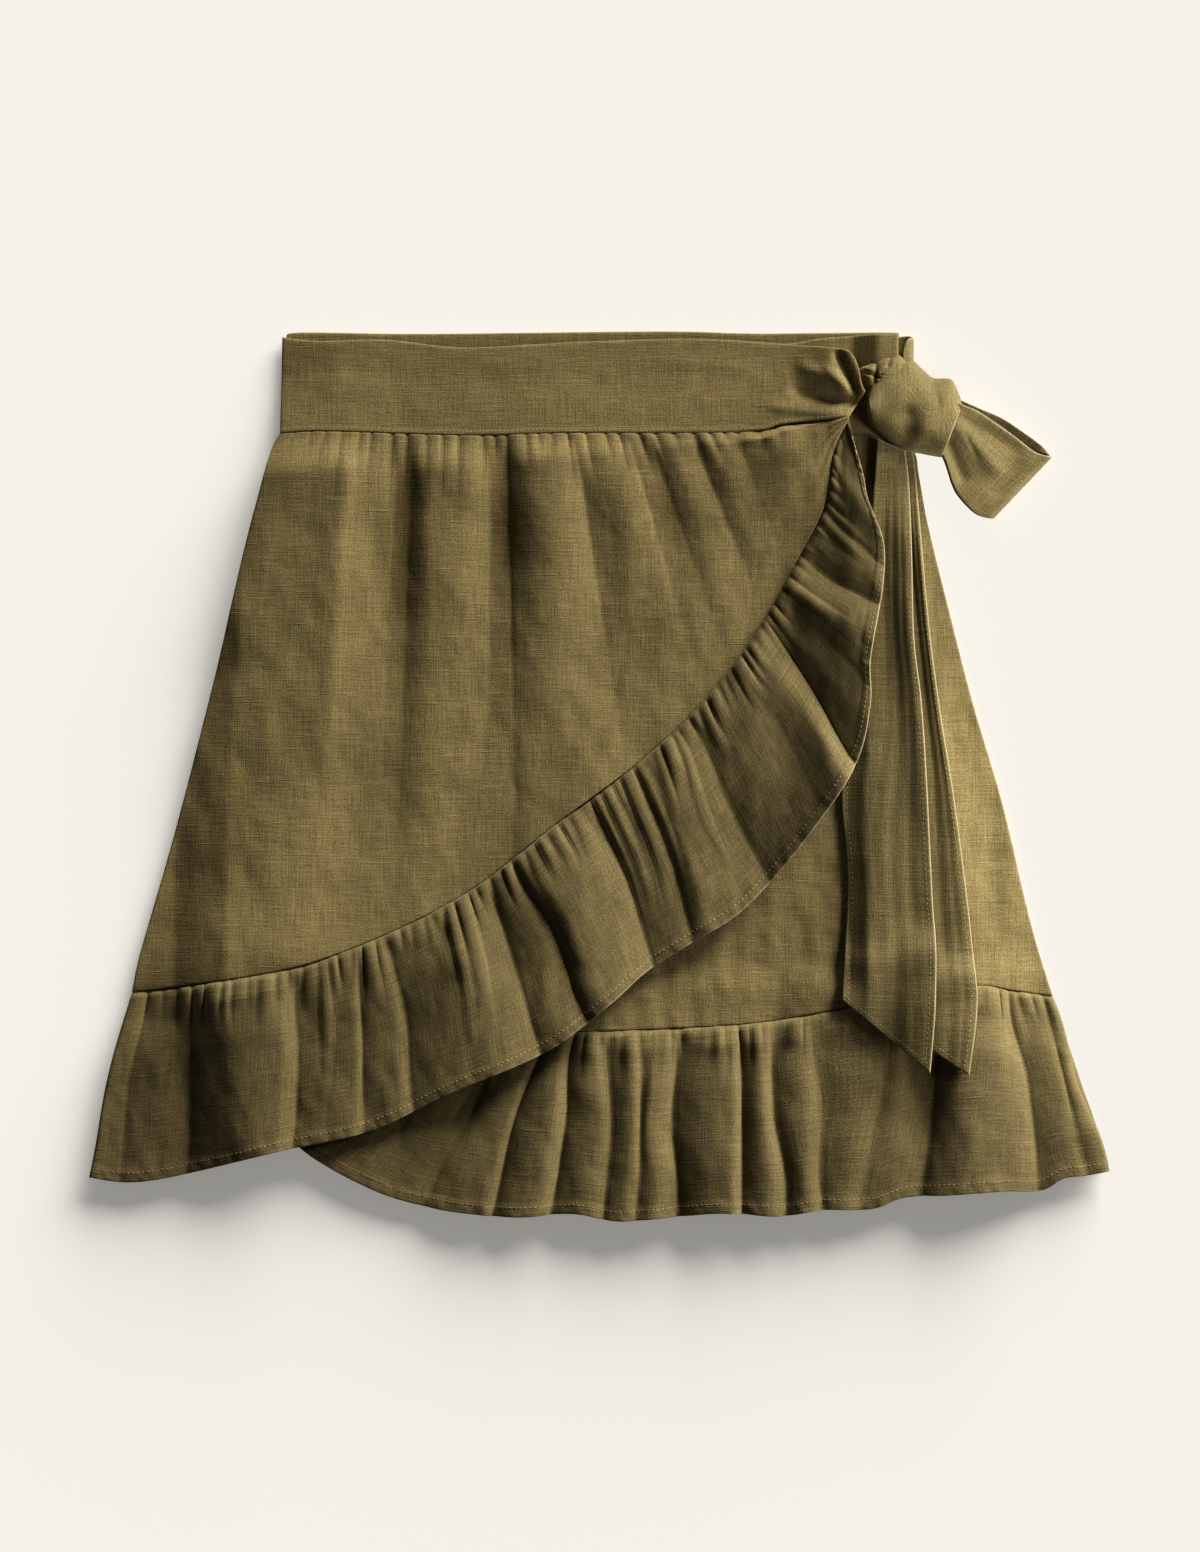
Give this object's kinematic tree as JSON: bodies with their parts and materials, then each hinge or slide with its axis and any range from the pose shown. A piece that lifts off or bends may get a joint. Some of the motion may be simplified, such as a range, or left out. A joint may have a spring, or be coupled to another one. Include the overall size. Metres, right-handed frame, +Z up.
{
  "type": "wrap skirt",
  "caption": "short linen wrap skirt laid flat, with a wide waistband, gathered panels, ruffled wrap edges and a side tie in a knot with one bow loop",
  "frame": {"origin": "on the surface that the skirt lies on, under the middle of its box", "axes": "+Z up from the surface; +Y towards the waist; +X to the right of the picture, the side where the skirt is tied"},
  "size_m": [0.5898, 0.5144, 0.0229],
  "materials": {
    "linen_panel": "olive linen, matte plain weave with slubs",
    "linen_ruffle": "olive linen, matte plain weave, gathered",
    "linen_band": "olive linen, matte plain weave, double",
    "linen_tie": "olive linen, matte plain weave, double",
    "thread": "olive sewing thread"
  },
  "bodies": {
    "root": {"back_tie": "linen_tie", "back_waistband": "linen_band", "back_panel": "linen_panel", "back_ruffle": "linen_ruffle", "under_wrap_panel": "linen_panel", "under_wrap_waistband": "linen_band", "under_wrap_ruffle": "linen_ruffle", "tie_tail_rear": "linen_tie", "tie_tail_front": "linen_tie", "over_wrap_panel": "linen_panel", "over_wrap_waistband": "linen_band", "over_wrap_ruffle": "linen_ruffle", "tie_knot": "linen_tie", "bow_loop": "linen_tie"}
  },
  "joints": []
}
